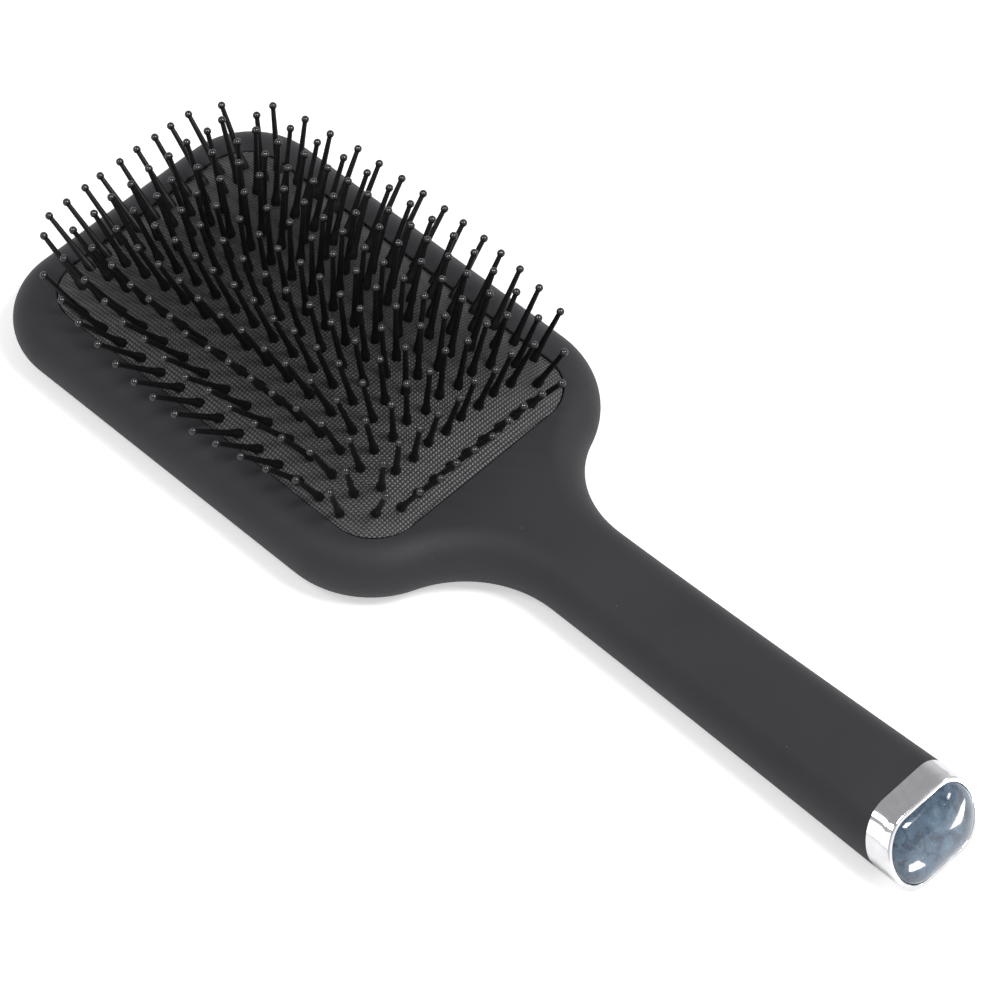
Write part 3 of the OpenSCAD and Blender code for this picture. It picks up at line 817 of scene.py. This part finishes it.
nylonTree, ballTree = pinTree(), tipTree()
tipBalls = []
for ring, places in sorted(pinPlaces().items()):
    number = ring + 1
    shanks = growFromPoints(f"pinShanks_{number}", places, nylonTree, pinMat)
    balls = growFromPoints(f"pinBalls_{number}", places, ballTree, tipMat)
    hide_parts(f"pins_{number}")
    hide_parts(f"tips_{number}")
    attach(shanks, f"pin_ring_{number}")
    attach(balls, f"pin_ring_{number}")
    tipBalls.append(balls)
    print("pin ring", number, len(places), "pins", len(shanks.data.polygons), "faces")


# chrome cap and stone

cap = {
    "length": 6.65, "faceTilt": 26, "bezel": 1.1, "bezelRound": 0.15, "seat": 1.9, "edgeRound": 0.45,
    "spigot": 12, "spigotInset": 3.4, "spigotBevel": 0.6, "stoneGap": 0.06, "stoneRise": 2.6, "steps": 20,
}
faceX = body["reach"] + cap["length"]


def capSection(d):
    rx, rz = edgeR - d, endMidZ - d
    flatY = body["handleWidth"] / 2 - edgeR
    turns = [math.radians(90 * i / cap["steps"]) for i in range(cap["steps"] + 1)]
    half = [(flatY + rx * math.cos(a), rz * math.sin(a)) for a in turns]
    half += [(-y, z) for y, z in reversed(half)]
    return half + [(y, -z) for y, z in reversed(half[1:-1])]


def slantRing(section, atX, tilt, push=0.0, size=1.0):
    t = math.radians(tilt)
    out = []
    for y, z in section:
        y, z = y * size, z * size
        out.append((atX - z * math.tan(t) + push * math.cos(t), y, endMidZ + z + push * math.sin(t)))
    return out


def fanLoft(name, rings):
    # skin through rings, with a fan of triangles to a point in the middle of each end
    n = len(rings[0])
    points = [p for ring in rings for p in ring]
    faces = []
    for k in range(len(rings) - 1):
        for i in range(n):
            j = (i + 1) % n
            faces.append((k * n + i, k * n + j, (k + 1) * n + j, (k + 1) * n + i))
    for base in (0, (len(rings) - 1) * n):
        ring = points[base:base + n]
        points.append(tuple(sum(p[c] for p in ring) / n for c in range(3)))
        for i in range(n):
            faces.append((base + i, base + (i + 1) % n, len(points) - 1))
    return meshFrom(name, points, faces)


def makeCap():
    # spigot, shoulder on the slanted joint, band, rounded edge, bezel and seat
    r = cap["edgeRound"]
    inset = cap["spigotInset"]
    stops = (
        (inset + cap["spigotBevel"], -cap["spigot"]), (inset, 1 - cap["spigot"]),
        (inset, 0.02), (0.12, 0.02), (0, 0.16))
    rings = [slantRing(capSection(d), body["reach"], body["jointTilt"], push) for d, push in stops]
    for k in range(1, 5):
        mixTilt = body["jointTilt"] + (cap["faceTilt"] - body["jointTilt"]) * k / 5
        rings.append(slantRing(capSection(0), body["reach"] + (cap["length"] - r) * k / 5, mixTilt))
    for angle in (0, 18, 36, 54, 72, 90):
        a = math.radians(angle)
        section = capSection(r * (1 - math.cos(a)))
        rings.append(slantRing(section, faceX, cap["faceTilt"], -r + r * math.sin(a)))
    rim, small = cap["bezel"], cap["bezelRound"]
    for angle in (0, 30, 60, 90):
        a = math.radians(angle)
        section = capSection(rim - small + small * math.sin(a))
        rings.append(slantRing(section, faceX, cap["faceTilt"], -small * (1 - math.cos(a))))
    rings.append(slantRing(capSection(rim), faceX, cap["faceTilt"], -cap["seat"]))
    return linkObject("chromeCap", fanLoft("chromeCap", rings))


def makeStone():
    # straight up from the backing film to a girdle below the bezel, then a full dome
    section = capSection(cap["bezel"] + cap["stoneGap"])
    girdle = -0.35
    rings = [slantRing(section, faceX, cap["faceTilt"], push) for push in (0.45 - cap["seat"], girdle)]
    for i in range(1, 19):
        size = math.cos(math.radians(5 * i)) if i < 18 else 0.02
        push = girdle + (cap["stoneRise"] - girdle) * (1 - size ** 2.4) ** 0.62
        rings.append(slantRing(section, faceX, cap["faceTilt"], push, size))
    return linkObject("blueStone", fanLoft("blueStone", rings))


chromeCap = makeCap()
chromeCap.data.materials.append(chromeMat)
smoothByAngle(chromeCap, 35)
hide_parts("end_cap")
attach(chromeCap, "brush")
blueStone = makeStone()
blueStone.data.materials.append(stoneMat)
smoothByAngle(blueStone, 60)
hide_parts("stone")
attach(blueStone, "brush")
print("cap and stone made")


# finishes for the frame, screws and backing film, which stay as they are

for name, finish in (("pad_frame", frameMat), ("frame_screws", steelMat), ("stone_bed", bedMat)):
    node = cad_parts[name]
    for i in range(len(node.material_slots)):
        node.material_slots[i].material = finish
print("inner parts painted")


# floor, light and camera

def makeFloor():
    half = 3.0
    mesh = bpy.data.meshes.new("floor")
    corners = [(-half, -half, 0), (half, -half, 0), (half, half, 0), (-half, half, 0)]
    mesh.from_pydata(corners, [], [(0, 1, 2, 3)])
    floor = linkObject("floor", mesh)
    mat, nodes, links, shader = newMaterial("paleFloor")
    shader.inputs["Base Color"].default_value = (0.93, 0.93, 0.93, 1)
    shader.inputs["Roughness"].default_value = 0.9
    shader.inputs["Specular IOR Level"].default_value = 0.1
    # a glow that only the camera sees keeps the shadows pale
    shader.inputs["Emission Color"].default_value = (1, 1, 1, 1)
    seen = addNode(nodes, "ShaderNodeLightPath")
    glow = mathNode(nodes, links, "MULTIPLY", seen.outputs["Is Camera Ray"], 0.46)
    links.new(glow, shader.inputs["Emission Strength"])
    mesh.materials.append(mat)


def addSoftbox(name, place, target, size, power, onlyFor=()):
    # with onlyFor, it lights those pieces alone and the camera doesn't see it
    light = bpy.data.lights.new(name, "AREA")
    light.shape = "RECTANGLE"
    light.size, light.size_y = size
    light.energy = power
    obj = bpy.data.objects.new(name, light)
    scene.collection.objects.link(obj)
    obj.location = place
    obj.rotation_euler = (Vector(target) - Vector(place)).to_track_quat("-Z", "Y").to_euler()
    if onlyFor:
        lit = bpy.data.collections.new(name + "Lights")
        for piece in onlyFor:
            lit.objects.link(piece)
        obj.light_linking.receiver_collection = lit
        obj.visible_camera = False


# the camera looks back along these angles at the aim, which is the middle of the view
view = {
    "azimuth": -45.81, "elevation": 51.93, "roll": -0.15,
    "aim": (48.5767, 9.6531, -7.8739), "distance": 1000, "lens": 165.6, "sensor": 36,
}


def makeCamera():
    a, e, r = (math.radians(view[k]) for k in ("azimuth", "elevation", "roll"))
    back = Vector((math.cos(e) * math.cos(a), math.cos(e) * math.sin(a), math.sin(e)))
    right = Vector((0, 0, 1)).cross(back).normalized()
    up = back.cross(right)
    right, up = right * math.cos(r) + up * math.sin(r), -right * math.sin(r) + up * math.cos(r)
    place = Vector(view["aim"]) + back * view["distance"]
    data = bpy.data.cameras.new("camera")
    data.sensor_width = view["sensor"]
    data.lens = view["lens"]
    data.clip_start, data.clip_end = 0.01, 20
    cam = bpy.data.objects.new("camera", data)
    scene.collection.objects.link(cam)
    turn = Matrix((right, up, back)).transposed().to_4x4()
    cam.matrix_world = Matrix.Translation(place * mm) @ turn
    scene.camera = cam


makeFloor()
makeCamera()
# two softboxes light everything
focus = (0.05, 0, 0.01)
rightPlace, leftPlace = (0.62, 0.23, 1.04), (-0.2, -0.56, 1.04)
addSoftbox("rightBox", rightPlace, focus, (0.45, 0.45), 9.5)
addSoftbox("leftBox", leftPlace, focus, (0.27, 0.27), 2.0)
# four cards show as bright windows in the chrome and the stone, two of them just above the floor
capSpot = (faceX * mm, 0, endMidZ * mm)
shiny = (chromeCap, blueStone)
addSoftbox("sideCard", (0.37, 0.20, 0.12), capSpot, (0.05, 0.05), 0.075, shiny)
addSoftbox("lowRightCard", (0.203, 0.029, 0.001), (0.203, 0.029, 1), (0.012, 0.02), 0.0075, shiny)
addSoftbox("lowFrontCard", (0.203, -0.007, 0.001), (0.203, -0.007, 1), (0.015, 0.009), 0.006, shiny)
addSoftbox("leftCard", (-0.08, -0.48, 0.22), capSpot, (0.4, 0.4), 0.55, shiny)
# a spark on each ball, from the same two directions as the softboxes
addSoftbox("sparkRight", rightPlace, focus, (0.2, 0.2), 26, tipBalls)
addSoftbox("sparkLeft", leftPlace, focus, (0.2, 0.2), 32, tipBalls)


def paleRoom():
    # an even room, a little darker overhead
    world = bpy.data.worlds.new("studio")
    scene.world = world
    world.use_nodes = True
    nodes, links = world.node_tree.nodes, world.node_tree.links
    coord = addNode(nodes, "ShaderNodeTexCoord")
    split = addNode(nodes, "ShaderNodeSeparateXYZ")
    links.new(coord.outputs["Generated"], split.inputs[0])
    ramp = rampNode(nodes, links, split.outputs["Z"], [
        (0.0, (0.72, 0.72, 0.73)), (0.4, (0.62, 0.62, 0.63)), (0.8, (0.38, 0.38, 0.39))])
    links.new(ramp.outputs["Color"], nodes["Background"].inputs["Color"])
    nodes["Background"].inputs["Strength"].default_value = 1.0


paleRoom()
scene.view_settings.view_transform = "Standard"
scene.view_settings.look = "None"
print("stage set")
